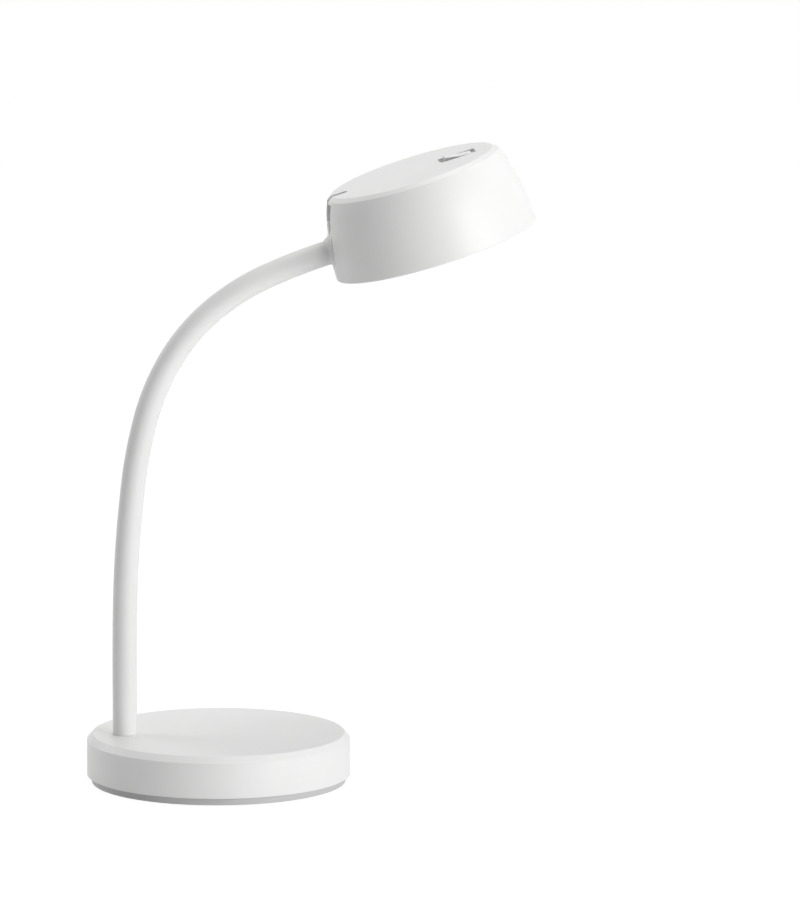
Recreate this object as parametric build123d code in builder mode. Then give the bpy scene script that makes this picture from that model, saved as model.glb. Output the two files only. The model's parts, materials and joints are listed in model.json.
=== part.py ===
"""A desk lamp: a round weighted base, a bendable arm in a soft sleeve, and a drum head that tilts.

Millimetres. The origin is the centre of the base's underside, +Z is up and +X is the front. The arm rises
behind the origin, arches forward and enters the back of the head. The head has its own frame: its origin is
the centre of its top face, and depths in the head are measured down from that face.
"""

from build123d import *
from math import cos, pi, radians, sin, sqrt
import os

os.makedirs("parts", exist_ok=True)

# ------------------------------------------------------------------ clearances
slip = 0.15  # between pieces that drop into each other
thread_gap = 0.03  # between a screw and its hole
running = 0.05  # between a shaft or ball and its bearing
swing_gap = 0.4  # beside pieces that swing past each other

# ------------------------------------------------------------------ base
base_radius = 65.0
base_height = 24.5
base_chamfer_in = 2.8
base_chamfer_down = 3.1
base_wall = 2.2
base_top = 2.6
band_height = 4.05  # the bottom plate shows this far under the shell
edge_round = 0.5

pad_border = 4.5  # from the base's outer face in to the pad
pad_thickness = 1.6
pad_proud = 0.4
plate_floor = 2.4
plate_rim = 1.8
plate_rim_top = 8.0
post_radius = 3.8
post_tuck = 0.5  # the posts run this far into the plate's rim
cut_margin = 1.0  # cuts start this far outside what they cut
hole_spare = 1.0  # blind holes run this far past their screws
thin_hole_spare = 0.2  # the same where the wall is thin

weight_gap = 3.25  # from the screw posts in to the disc
weight_thickness = 12.0
weight_ahead = 21.35  # the disc is cut off this far ahead of the arm's root
weight_chamfer = 1.0
weight_screw_circle = 36.0
weight_screw_angle = 100.0
weight_corner = 6.0
weight_screw_bite = 8.0
plate_screw_length = 13.0
screw_sunk = 0.1  # the plate screws' heads lie this far above the pad

# ------------------------------------------------------------------ arm
arm_root_inset = 18.65  # from the base's rear edge to the arm's axis
arm_length = 285.0  # sleeve that shows, from the base's top to the neck
arm_turns = (0.0, 1.2, 3.0, 2.9, 8.3, 15.8, 19.2, 15.9, 6.4)  # degrees that each stretch leans forward
sleeve_radius = 6.0
sleeve_wall = 1.0
sleeve_sunk = 2.2  # length of sleeve inside the base's top
core_gap = 0.2  # between the core and the sleeve
ball_inset = 0.8  # the ball is this much smaller in radius than the core
ball_neck_radius = 2.8
cup_mouth_angle = 70.0  # from the axis to the cup's edge, past the ball's widest
ball_shoulder = 3.6  # from the ball's centre down to the stretch's shoulder
lead_radius = 1.5
lead_room = 0.3  # between the lead and the core's bore
root_bend = 4.0  # radius of the lead's bend under the arm's root

ferrule_flange_radius = 9.0
ferrule_flange = 2.0
ferrule_wall = 1.15
ferrule_length = 10.5  # flange included
ferrule_end = 2.0
ferrule_end_hole = 2.4

anchor_length = 44.0
anchor_width = 24.0
anchor_thickness = 1.5
anchor_ahead = 1.35  # the plate's middle stands this far ahead of the arm's root
anchor_screw_bite = 1.2  # past the ferrule's flange
anchor_screw_x = 7.5
anchor_screw_y = 17.0
boss_radius = 3.5
washer_radius = 10.0
washer_thickness = 1.0
nut_flats = 18.0
nut_thickness = 5.0

# ------------------------------------------------------------------ power inlet
inlet_angle = 150.0  # from the front, round the base
board_inset = 4.0  # from the base's outer face in to the board
board_length = 25.0
board_width = 16.0
board_thickness = 1.2
board_rise = 5.2  # above the plate's floor
board_post_radius = 3.0
board_screw_insets = ((12.0, 5.5), (19.5, -5.0))  # in from the board's outer end, and sideways
board_screw_bite = 3.6
socket_width = 8.94
socket_height = 3.26
socket_depth = 7.35
socket_wall = 0.3
socket_inset = 0.4  # behind the base's outer face
tongue_width = 6.6
tongue_thickness = 0.7
tongue_length = 4.8
plug_length = 7.0
plug_width = 6.0

# ------------------------------------------------------------------ neck and its slot
collar_length = 1.8  # from the sleeve's end to the barrel's skin, on the arm's axis
collar_lip = 0.75  # the mouth stands this far outside the sleeve
collar_edge = 0.45  # chamfer round the mouth
collar_flare = 0.45  # slope of the collar's skin at its mouth
collar_tuck = 0.8  # the collar's skin runs this far inside the barrel's
collar_wall = 2.4  # outside the sleeve, where the collar meets the barrel
collar_recess = 3.2  # the sleeve's end sits this deep in the collar
barrel_radius = 22.0
barrel_skin = 2.0
barrel_half_width = 8.6
shield_above = 62.0  # degrees of barrel skin above the arm's axis
shield_below = 24.0
stop_half_width = 1.8  # a fin on the shield runs in the head's slit and stops the tilt at its end
stop_depth = 11.0  # of the fin's upper end, under the head's top face
stop_inset = 0.3  # the fin's face lies this far inside the head's wall
stop_runs = 3  # straight runs down the fin's face
slot_top = 3.0  # depth of the slot's upper end; the slit goes on into the top face
slit_behind_pin = 5.5  # from the pin back to the slit's inner end
lug_inset = 0.6  # the lugs' outer faces lie this far inside the shield's edges
lug_thickness = 3.5
lug_boss_radius = 6.0
lug_above = 24.0  # degrees of barrel that the lugs carry, above and below the arm's axis
lug_below = 10.0
end_ferrule_wall = 0.9
end_ferrule_length = 10.6
pin_radius = 2.5
pin_head_radius = 4.5
pin_head = 2.0
pin_nut_flats = 8.0
pin_nut = 3.2
pin_end = 0.8  # the bolt shows this much past its nut
washer_gap_side = 0.02
bracket_thickness = 1.5
bracket_ahead = 15.1  # forward and rear of the pin
bracket_behind = 6.4
bracket_flange = 10.5
bracket_drop = 5.0  # depth of the flange's top
bracket_eye_radius = 8.0
bracket_web_height = 3.5
bracket_web_gap = 1.5  # between the web and the light pan
bracket_eye_tuck = 1.0  # the cheek's edges run this far inside the eye's circle
bracket_screw_inset = 4.5  # from the flange's ends
bracket_screw_edge = 4.0  # from the flange's outer edge

# ------------------------------------------------------------------ head
neck_reach = 7.6  # from the top of the wall to the sleeve's end
axis_drop = 26.0  # the arm's axis lies this far under the head's top face
head_height = 40.7
head_radius = 43.8  # at the top of the wall
head_flare = (0.0, 3.5, 5.45, 6.7, 7.35)  # the wall stands out by these down to the rim, in equal steps
head_chamfer_in = 2.6
head_chamfer_down = 1.7
head_wall = 2.3
head_top = 2.6
rim_round = 0.6
top_skin = 1.4  # left over the bracket screws' ends
pan_boss_inset = 5.3  # from the top of the wall in to the pan's bosses
pan_screw_head = 0.9
pan_screw_length = 7.0

bezel_thickness = 0.9
bezel_width = 3.3
diffuser_thickness = 1.2
guide_thickness = 2.2
reflector_thickness = 0.2
pan_thickness = 1.2
pan_skirt = 0.8
dimple_rise = 1.0
dimple_radius = 4.0
dimple_wall = 1.0
ring_thickness = 0.3
chip_count = 36
chip_size = (1.2, 3.0, 1.6)  # radial, along the ring, tall
guide_gap = 0.3

driver_centre = 14.0
driver_length = 40.0
driver_width = 26.0
driver_rise = 4.0
driver_screw_places = ((-16.5, 9.5), (16.5, -9.5))
socket_size = (6.0, 8.0, 4.8)
socket_edge = 1.0  # from the driver board's rear end
coil_size = (8.0, 8.0, 4.0)
coil_corner = 1.5
coil_place = (-3.0, 7.5)  # from the board's middle, like the two below
chip_body = (5.0, 4.0, 1.6)
chip_place = (-4.0, -7.0)
capacitor_radius = 3.1
capacitor_height = 7.0
capacitor_place = (14.0, 8.0)

# ------------------------------------------------------------------ switch
switch_centre = 23.4
pocket_end = 0.7  # past the housing's ends
pocket_side = 0.3  # past its sides
pocket_slope = 2.2
pocket_depth = 1.4
switch_pad = 1.6
switch_pad_end = 0.5  # past the housing's ears
switch_pad_side = 2.0
housing_depth = 11.6
housing_wall = 1.0
housing_floor = 1.4
housing_ear_reach = 5.1
housing_ear_corner = 2.0
housing_ear = 1.5
housing_screw_reach = 2.7  # from the housing's ends out to its screws
housing_screw_bite = 2.2
rocker_reach = 7.6  # from the pivot to its round ends
rocker_end_gap = 0.3
rocker_half_width = 4.6
rocker_rise = 3.8
rocker_dip = 0.4
rocker_skirt = 2.4
rocker_tip = 7.0  # degrees, rear half up
rocker_pivot_depth = 3.2
rocker_pivot_radius = 1.2
rocker_pivot_end = 0.3  # from the pivot's ends out to the housing's sides
terminal_size = (3.0, 0.8, 6.0)
terminal_inside = 0.5  # above the housing's floor
terminal_pitch = 7.0
switch_wire_radius = 0.7
led_wire_radius = 0.6
led_wire_inset = 3.0  # from the driver board's front end
led_wire_end = 0.6  # above the diffuser
led_wire_bend = 4.0


# ------------------------------------------------------------------ helpers
def save(piece, name):
    """Label a finished piece and write it."""
    piece.label = name
    export_step(piece, "parts/" + name + ".step")


def screws(planes, head_radius, head_height, shank_radius, shank_length, sunk=False):
    """Cross-recess screws. Each plane lies under a head, and its normal points along the shank."""
    with BuildPart() as group:
        for seat in planes:
            with BuildSketch(seat.offset(-head_height)):
                Circle(head_radius)
            if sunk:
                with BuildSketch(seat):
                    Circle(shank_radius)
                loft()
            else:
                extrude(amount=head_height)
            with BuildSketch(seat):
                Circle(shank_radius)
            extrude(amount=shank_length)
            with BuildSketch(seat.offset(-head_height)):
                Rectangle(head_radius, head_radius / 4)
                Rectangle(head_radius / 4, head_radius)
            extrude(amount=head_height / 2, mode=Mode.SUBTRACT)
    return group.part


# ------------------------------------------------------------------ the arm's centreline
stretch_count = len(arm_turns)
stretch_length = arm_length / stretch_count
arm_root_x = arm_root_inset - base_radius
core_radius = sleeve_radius - sleeve_wall - core_gap
core_bore = lead_radius + lead_room
ball_radius = core_radius - ball_inset


def arm_at(distance):
    """Centreline point (x, z) and heading, by length from the base's top face."""
    x, z, heading = arm_root_x, base_height, pi / 2
    if distance <= 0:
        return x, z + distance, heading
    left = distance
    for turn in arm_turns:
        step = min(left, stretch_length)
        bend = radians(turn) * step / stretch_length
        chord = step * sin(bend / 2) / (bend / 2) if bend else step
        x += chord * cos(heading - bend / 2)
        z += chord * sin(heading - bend / 2)
        heading -= bend
        left -= step
    return x + left * cos(heading), z + left * sin(heading), heading


def arm_point(distance):
    x, z, _ = arm_at(distance)
    return Vector(x, 0, z)


def arm_plane(distance):
    """Plane across the arm: its normal runs up the arm, its Y is the lamp's Y."""
    x, z, heading = arm_at(distance)
    return Plane((x, 0, z), x_dir=(sin(heading), 0, -cos(heading)), z_dir=(cos(heading), 0, sin(heading)))


def arm_route(start, end):
    """Lines and tangent arcs along the centreline, added to the line being built."""
    inner = [stretch_length * n for n in range(stretch_count + 1) if start < stretch_length * n < end]
    marks = [start] + inner + [end]
    for low, high in zip(marks, marks[1:]):
        if abs(arm_at(low)[2] - arm_at(high)[2]) < 1e-9:
            Line(arm_point(low), arm_point(high))
        else:
            ThreePointArc(arm_point(low), arm_point((low + high) / 2), arm_point(high))


# ------------------------------------------------------------------ places and levels in the base
plate_bottom = pad_proud
pad_radius = base_radius - pad_border
recess_top = pad_thickness
floor_top = recess_top + plate_floor
base_inner_radius = base_radius - base_wall
plate_radius = base_inner_radius - slip
post_circle = plate_radius - plate_rim - post_radius + post_tuck
weight_radius = post_circle - post_radius - weight_gap
weight_back_x = arm_root_x + weight_ahead
ferrule_radius = core_radius + running + ferrule_wall
base_inner_top = base_height - base_top
ferrule_bottom = base_inner_top - ferrule_length
core_bottom = ferrule_bottom + ferrule_end
root_depth = base_height - core_bottom
anchor_top = base_inner_top - ferrule_flange
anchor_bottom = anchor_top - anchor_thickness
washer_bottom = anchor_bottom - washer_thickness
nut_bottom = washer_bottom - nut_thickness
board_bottom = floor_top + board_rise
board_top = board_bottom + board_thickness
socket_middle = board_top + socket_height / 2
board_end = base_radius - board_inset
board_screw_places = [(board_end - inset, y) for inset, y in board_screw_insets]

inlet_out = (cos(radians(inlet_angle)), sin(radians(inlet_angle)), 0)
inlet_floor = Plane((0, 0, 0), x_dir=inlet_out, z_dir=(0, 0, 1))  # X runs out through the inlet
post_places = PolarLocations(post_circle, 4, start_angle=45)
anchor_centre_x = arm_root_x + anchor_ahead
anchor_screw_points = [
    (anchor_centre_x + x, y)
    for x in (-anchor_screw_x, anchor_screw_x)
    for y in (-anchor_screw_y, anchor_screw_y)
]
weight_screw_points = [
    (weight_screw_circle * cos(radians(angle)), weight_screw_circle * sin(radians(angle)))
    for angle in (0, weight_screw_angle, -weight_screw_angle)
]
m4_radius, m3_radius, m2_radius = 2.0, 1.5, 1.0
m4_head, m3_head, m2_head = 3.9, 2.8, 1.9
m4_head_height, m3_head_height, m2_head_height = 2.1, 1.5, 1.1
plate_screw_seat = recess_top + m3_head_height + screw_sunk
anchor_screw_length = anchor_thickness + ferrule_flange + anchor_screw_bite
weight_screw_length = plate_floor - m4_head_height + weight_screw_bite
board_screw_length = board_thickness + board_screw_bite


# ------------------------------------------------------------------ base pieces
with BuildPart() as base_shell:
    with BuildSketch(Plane.XZ) as profile:
        with BuildLine():
            Polyline(
                (0, base_height),
                (base_radius - base_chamfer_in, base_height),
                (base_radius, base_height - base_chamfer_down),
                (base_radius, band_height),
                (base_inner_radius, band_height),
                (base_inner_radius, base_inner_top),
                (0, base_inner_top),
                close=True,
            )
        make_face()
        chamfer_corners = profile.vertices().sort_by_distance((base_radius, base_height))[:2]
        fillet(chamfer_corners, edge_round)
    revolve(axis=Axis.Z)
    with BuildSketch(Plane.XY.offset(base_inner_top)):
        with PolarLocations(post_circle, 4, start_angle=45):
            Circle(post_radius)
    extrude(amount=plate_rim_top - base_inner_top)
    with BuildSketch(Plane.XY.offset(base_inner_top)):
        with Locations(*anchor_screw_points):
            Circle(boss_radius)
    extrude(amount=-ferrule_flange)
    with BuildSketch(Plane.XY.offset(base_height)):
        with Locations((arm_root_x, 0)):
            Circle(sleeve_radius + slip)
    extrude(amount=-base_top, mode=Mode.SUBTRACT)
    with BuildSketch(Plane.XY.offset(plate_rim_top)):
        with PolarLocations(post_circle, 4, start_angle=45):
            Circle(m3_radius + thread_gap)
    extrude(amount=plate_screw_seat + plate_screw_length + hole_spare - plate_rim_top, mode=Mode.SUBTRACT)
    with BuildSketch(Plane.XY.offset(anchor_top)):
        with Locations(*anchor_screw_points):
            Circle(m3_radius + thread_gap)
    extrude(amount=anchor_screw_length - anchor_thickness + thin_hole_spare, mode=Mode.SUBTRACT)
    inlet_mouth = Plane((0, 0, socket_middle), x_dir=(-inlet_out[1], inlet_out[0], 0), z_dir=inlet_out)
    with BuildSketch(inlet_mouth.offset(base_radius + cut_margin)):
        SlotOverall(socket_width + 2 * slip, socket_height + 2 * slip)
    extrude(amount=-base_wall - 2 * cut_margin, mode=Mode.SUBTRACT)
save(base_shell.part, "base_shell")

with BuildPart() as base_plate:
    with BuildSketch(Plane.XY.offset(plate_bottom)):
        Circle(plate_radius)
    extrude(amount=plate_rim_top - plate_bottom)
    with BuildSketch(Plane.XY.offset(plate_rim_top)):
        Circle(plate_radius - plate_rim)
    extrude(amount=floor_top - plate_rim_top, mode=Mode.SUBTRACT)
    with BuildSketch(Plane.XY.offset(plate_bottom)):
        Circle(pad_radius + slip)
    extrude(amount=recess_top - plate_bottom, mode=Mode.SUBTRACT)
    with BuildSketch(Plane.XY.offset(floor_top)):
        with PolarLocations(post_circle, 4, start_angle=45):
            Circle(post_radius)
    extrude(amount=plate_rim_top - floor_top)
    with BuildSketch(inlet_floor.offset(floor_top)):
        with Locations(*board_screw_places):
            Circle(board_post_radius)
    extrude(amount=board_rise)
    with BuildSketch(Plane.XY.offset(recess_top)):
        with PolarLocations(post_circle, 4, start_angle=45):
            Circle(m3_head + slip)
    extrude(amount=plate_screw_seat - recess_top, mode=Mode.SUBTRACT)
    with BuildSketch(Plane.XY.offset(plate_screw_seat)):
        with PolarLocations(post_circle, 4, start_angle=45):
            Circle(m3_radius + slip)
    extrude(amount=plate_rim_top - plate_screw_seat, mode=Mode.SUBTRACT)
    with Locations(*[Plane((x, y, recess_top), z_dir=(0, 0, -1)) for x, y in weight_screw_points]):
        CounterSinkHole(m4_radius + slip, m4_head + slip, depth=plate_floor)
    with BuildSketch(inlet_floor.offset(board_bottom)):
        with Locations(*board_screw_places):
            Circle(m2_radius + thread_gap)
    extrude(amount=-board_screw_bite - thin_hole_spare, mode=Mode.SUBTRACT)
save(base_plate.part, "base_plate")

with BuildPart() as foot_pad:
    with BuildSketch():
        Circle(pad_radius)
    extrude(amount=pad_thickness)
    chamfer(foot_pad.edges().group_by(Axis.Z)[0], pad_proud / 2)
save(foot_pad.part, "foot_pad")

with BuildPart() as base_weight:
    with BuildSketch(Plane.XY.offset(floor_top)) as disc:
        Circle(weight_radius)
        with Locations((weight_back_x - weight_radius, 0)):
            Rectangle(2 * weight_radius, 2 * weight_radius, mode=Mode.SUBTRACT)
        fillet(disc.vertices(), weight_corner)
    extrude(amount=weight_thickness)
    with BuildSketch(Plane.XY.offset(floor_top)):
        with Locations(*weight_screw_points):
            Circle(m4_radius + thread_gap)
    extrude(amount=weight_screw_bite + hole_spare, mode=Mode.SUBTRACT)
    chamfer(base_weight.edges().group_by(Axis.Z)[-1], weight_chamfer)
save(base_weight.part, "base_weight")

sunk_seats = [Plane((x, y, recess_top + m4_head_height), z_dir=(0, 0, 1)) for x, y in weight_screw_points]
save(screws(sunk_seats, m4_head, m4_head_height, m4_radius, weight_screw_length, sunk=True), "weight_screws")

plate_seats = [Plane(place).offset(plate_screw_seat) for place in post_places]
save(screws(plate_seats, m3_head, m3_head_height, m3_radius, plate_screw_length), "plate_screws")

anchor_seats = [Plane((x, y, anchor_bottom), z_dir=(0, 0, 1)) for x, y in anchor_screw_points]
save(screws(anchor_seats, m3_head, m3_head_height, m3_radius, anchor_screw_length), "anchor_screws")

with BuildPart() as root_ferrule:
    with BuildSketch(Plane.XY.offset(ferrule_bottom)):
        with Locations((arm_root_x, 0)):
            Circle(ferrule_radius)
    extrude(amount=ferrule_length)
    with BuildSketch(Plane.XY.offset(anchor_top)):
        with Locations((arm_root_x, 0)):
            Circle(ferrule_flange_radius)
    extrude(amount=ferrule_flange)
    with BuildSketch(Plane.XY.offset(core_bottom)):
        with Locations((arm_root_x, 0)):
            Circle(core_radius + running)
    extrude(amount=ferrule_length, mode=Mode.SUBTRACT)
    with BuildSketch(Plane.XY.offset(ferrule_bottom)):
        with Locations((arm_root_x, 0)):
            Circle(ferrule_end_hole)
    extrude(amount=ferrule_end, mode=Mode.SUBTRACT)
save(root_ferrule.part, "root_ferrule")

with BuildPart() as anchor_plate:
    with BuildSketch(Plane.XY.offset(anchor_bottom)):
        with Locations((anchor_centre_x, 0)):
            RectangleRounded(anchor_width, anchor_length, boss_radius)
        with Locations((arm_root_x, 0)):
            Circle(ferrule_radius + slip, mode=Mode.SUBTRACT)
        with Locations(*anchor_screw_points):
            Circle(m3_radius + slip, mode=Mode.SUBTRACT)
    extrude(amount=anchor_thickness)
save(anchor_plate.part, "anchor_plate")

with BuildPart() as root_washer:
    with BuildSketch(Plane.XY.offset(washer_bottom)):
        with Locations((arm_root_x, 0)):
            Circle(washer_radius)
            Circle(ferrule_radius + slip, mode=Mode.SUBTRACT)
    extrude(amount=washer_thickness)
save(root_washer.part, "root_washer")

with BuildPart() as root_nut:
    with BuildSketch(Plane.XY.offset(nut_bottom)):
        with Locations((arm_root_x, 0)):
            RegularPolygon(nut_flats / 2, 6, major_radius=False)
            Circle(ferrule_radius + thread_gap, mode=Mode.SUBTRACT)
    extrude(amount=nut_thickness)
save(root_nut.part, "root_nut")

# ------------------------------------------------------------------ power inlet
with BuildPart() as power_board:
    with BuildSketch(inlet_floor.offset(board_bottom)):
        with Locations((board_end - board_length / 2, 0)):
            Rectangle(board_length, board_width)
        with Locations(*board_screw_places):
            Circle(m2_radius + slip, mode=Mode.SUBTRACT)
    extrude(amount=board_thickness)
save(power_board.part, "power_board")

board_screw_points = [inlet_floor.from_local_coords(Vector(x, y, board_top)) for x, y in board_screw_places]
board_seats = [Plane(point, z_dir=(0, 0, -1)) for point in board_screw_points]
save(screws(board_seats, m2_head, m2_head_height, m2_radius, board_screw_length), "board_screws")

socket_face = base_radius - socket_inset
socket_back = socket_face - socket_depth
with BuildPart() as power_socket:
    with BuildSketch(inlet_mouth.offset(socket_back)):
        SlotOverall(socket_width, socket_height)
    extrude(amount=socket_depth)
    with BuildSketch(inlet_mouth.offset(socket_back + socket_wall)):
        SlotOverall(socket_width - 2 * socket_wall, socket_height - 2 * socket_wall)
    extrude(amount=socket_depth, mode=Mode.SUBTRACT)
save(power_socket.part, "power_socket")

with BuildPart() as socket_core:
    core_length = socket_depth - tongue_length - socket_inset - socket_wall
    with BuildSketch(inlet_mouth.offset(socket_back + socket_wall)):
        SlotOverall(socket_width - 2 * socket_wall - thread_gap, socket_height - 2 * socket_wall - thread_gap)
    extrude(amount=core_length)
    with BuildSketch(inlet_mouth.offset(socket_back + socket_wall + core_length)):
        Rectangle(tongue_width, tongue_thickness)
    extrude(amount=tongue_length)
save(socket_core.part, "socket_core")

# the lead runs level from under the ferrule, square to the board's side
lead_level = board_bottom - plug_width / 3
lead_board_x = arm_root_x * inlet_out[0]
plug_side = board_width / 2
with BuildPart() as lead_plug:
    with BuildSketch(inlet_floor.offset(board_bottom)):
        with Locations((lead_board_x, plug_side - plug_length / 2)):
            Rectangle(plug_width, plug_length)
    extrude(amount=-2 * (board_bottom - lead_level))
save(lead_plug.part, "lead_plug")


# ------------------------------------------------------------------ the arm's core
def gooseneck(number):
    """One stretch of the core: a bored tube with a cup below and a ball above."""
    lower = (number - 1) * stretch_length
    upper = number * stretch_length
    first = number == 1
    last = number == stretch_count
    start = -root_depth if first else lower
    end = arm_length + neck_depth if last else upper
    shoulder = end if last else upper - ball_shoulder
    with BuildPart() as stretch:
        with BuildLine() as route:
            arm_route(start, shoulder)
        with BuildSketch(arm_plane(start)):
            Circle(core_radius)
        sweep(path=route.wire())
        if not first:
            with BuildSketch(arm_plane(lower)):
                Circle(core_radius)
            extrude(amount=-(ball_radius + running) * cos(radians(cup_mouth_angle)))
            with Locations(arm_plane(lower)):
                Sphere(ball_radius + running, mode=Mode.SUBTRACT)
        if not last:
            with BuildLine() as neck_route:
                arm_route(shoulder, upper)
            with BuildSketch(arm_plane(shoulder)):
                Circle(ball_neck_radius)
            sweep(path=neck_route.wire())
            with Locations(arm_plane(upper)):
                Sphere(ball_radius)
        with BuildLine() as bore_route:
            arm_route(start, end)
        with BuildSketch(arm_plane(start)):
            Circle(core_bore)
        sweep(path=bore_route.wire(), mode=Mode.SUBTRACT)
        if not last:
            with BuildSketch(arm_plane(upper)):
                Circle(core_bore)
            extrude(amount=ball_radius, mode=Mode.SUBTRACT)
    return stretch.part


ferrule_start = collar_recess  # along the arm, past the sleeve's visible end
neck_depth = ferrule_start + end_ferrule_length - ferrule_end
for number in range(1, stretch_count + 1):
    save(gooseneck(number), "gooseneck_" + str(number))

with BuildPart() as arm_sleeve:
    with BuildLine() as sleeve_route:
        arm_route(-sleeve_sunk, arm_length + collar_recess - slip)
    with BuildSketch(arm_plane(-sleeve_sunk)):
        Circle(sleeve_radius)
        Circle(sleeve_radius - sleeve_wall, mode=Mode.SUBTRACT)
    sweep(path=sleeve_route.wire())
save(arm_sleeve.part, "arm_sleeve")

# ------------------------------------------------------------------ the head's frame
head_top_radius = head_radius - head_chamfer_in
head_wall_radii = [head_radius + flare for flare in head_flare]
arm_to_head_centre = head_radius + neck_reach  # from the sleeve's end to the head's axis
arm_end_x, arm_end_z, end_heading = arm_at(arm_length)
forward = Vector(cos(end_heading), 0, sin(end_heading))
upward = Vector(-sin(end_heading), 0, cos(end_heading))
head_origin = Vector(arm_end_x, 0, arm_end_z) + forward * arm_to_head_centre + upward * axis_drop
head_plane = Plane(head_origin, x_dir=forward, z_dir=upward)  # X forward, Y the lamp's Y, Z out of the top
head_side = Plane(head_origin, x_dir=forward, z_dir=(0, -1, 0))  # X forward, Y out of the top
head_axis = Axis(head_origin, upward)


def head_level(depth):
    """Plane across the head, at a depth under its top face."""
    return head_plane.offset(-depth)


def side_plane(y):
    """Side view of the head, looking at the plane Y = y."""
    return head_side.offset(-y)


def head_point(forward_by, y, depth):
    return head_origin + forward * forward_by + Vector(0, y, 0) - upward * depth


def wall_radius(depth):
    """Outer radius of the head's wall, by depth."""
    step = (head_height - head_chamfer_down) / (len(head_wall_radii) - 1)
    place = min(max((depth - head_chamfer_down) / step, 0), len(head_wall_radii) - 1.001)
    low = int(place)
    return head_wall_radii[low] + (head_wall_radii[low + 1] - head_wall_radii[low]) * (place - low)


def wall_points(inset, top, bottom):
    """Points down the wall, set in by a wall thickness, with the ends moved to the given depths."""
    step = (head_height - head_chamfer_down) / (len(head_wall_radii) - 1)
    depths = [head_chamfer_down + step * n for n in range(len(head_wall_radii))]
    depths[0], depths[-1] = top, bottom
    return [(radius - inset, -depth) for radius, depth in zip(head_wall_radii, depths)]


pin_distance = collar_length + barrel_radius  # from the sleeve's end to the hinge pin
pin_place = pin_distance - arm_to_head_centre  # forward of the head's axis
pin_centre = (pin_place, -axis_drop)
collar_mouth_radius = sleeve_radius + collar_lip
collar_radius = sleeve_radius + collar_wall
end_ferrule_radius = core_radius + running + end_ferrule_wall
lug_outer = barrel_half_width - lug_inset
slot_half_width = barrel_half_width + swing_gap
slit_half_width = stop_half_width + swing_gap
slot_end = pin_place - slit_behind_pin
slot_start = -head_wall_radii[-1] - cut_margin

bezel_top = head_height - bezel_thickness
diffuser_top = bezel_top - diffuser_thickness
guide_top = diffuser_top - guide_thickness
reflector_top = guide_top - reflector_thickness
pan_top = reflector_top - pan_thickness
dimple_top = pan_top - dimple_rise
pan_radius = wall_radius(pan_top) - head_wall - slip
bezel_radius = wall_radius(head_height) - head_wall - slip
ring_radius = pan_radius - pan_skirt - running
guide_radius = ring_radius - ring_thickness - chip_size[0] - guide_gap
pan_boss_circle = head_wall_radii[0] - pan_boss_inset
pan_boss_places = PolarLocations(pan_boss_circle, 4, start_angle=45)
bracket_inner = slot_half_width
bracket_outer = bracket_inner + bracket_thickness
bracket_front = pin_place + bracket_ahead
bracket_back = pin_place - bracket_behind
bracket_middle = (bracket_front + bracket_back) / 2
bracket_screw_x = (bracket_front - bracket_back) / 2 - bracket_screw_inset
bracket_screw_y = bracket_inner + bracket_flange - bracket_screw_edge
bracket_screw_points = [
    (bracket_middle + x, y)
    for x in (-bracket_screw_x, bracket_screw_x)
    for y in (-bracket_screw_y, bracket_screw_y)
]
bracket_screw_length = bracket_thickness + bracket_drop - top_skin
pad_depth = head_top + switch_pad
housing_width = 2 * (rocker_half_width + swing_gap + housing_wall)
housing_length = 2 * (rocker_reach + rocker_end_gap + housing_wall)
housing_ear_length = housing_length + 2 * housing_ear_reach
housing_screw = housing_length / 2 + housing_screw_reach
pocket_length = housing_length + 2 * pocket_end
pocket_width = housing_width + 2 * pocket_side
housing_screw_points = [(switch_centre - housing_screw, 0), (switch_centre + housing_screw, 0)]
housing_screw_length = housing_ear + housing_screw_bite

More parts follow.
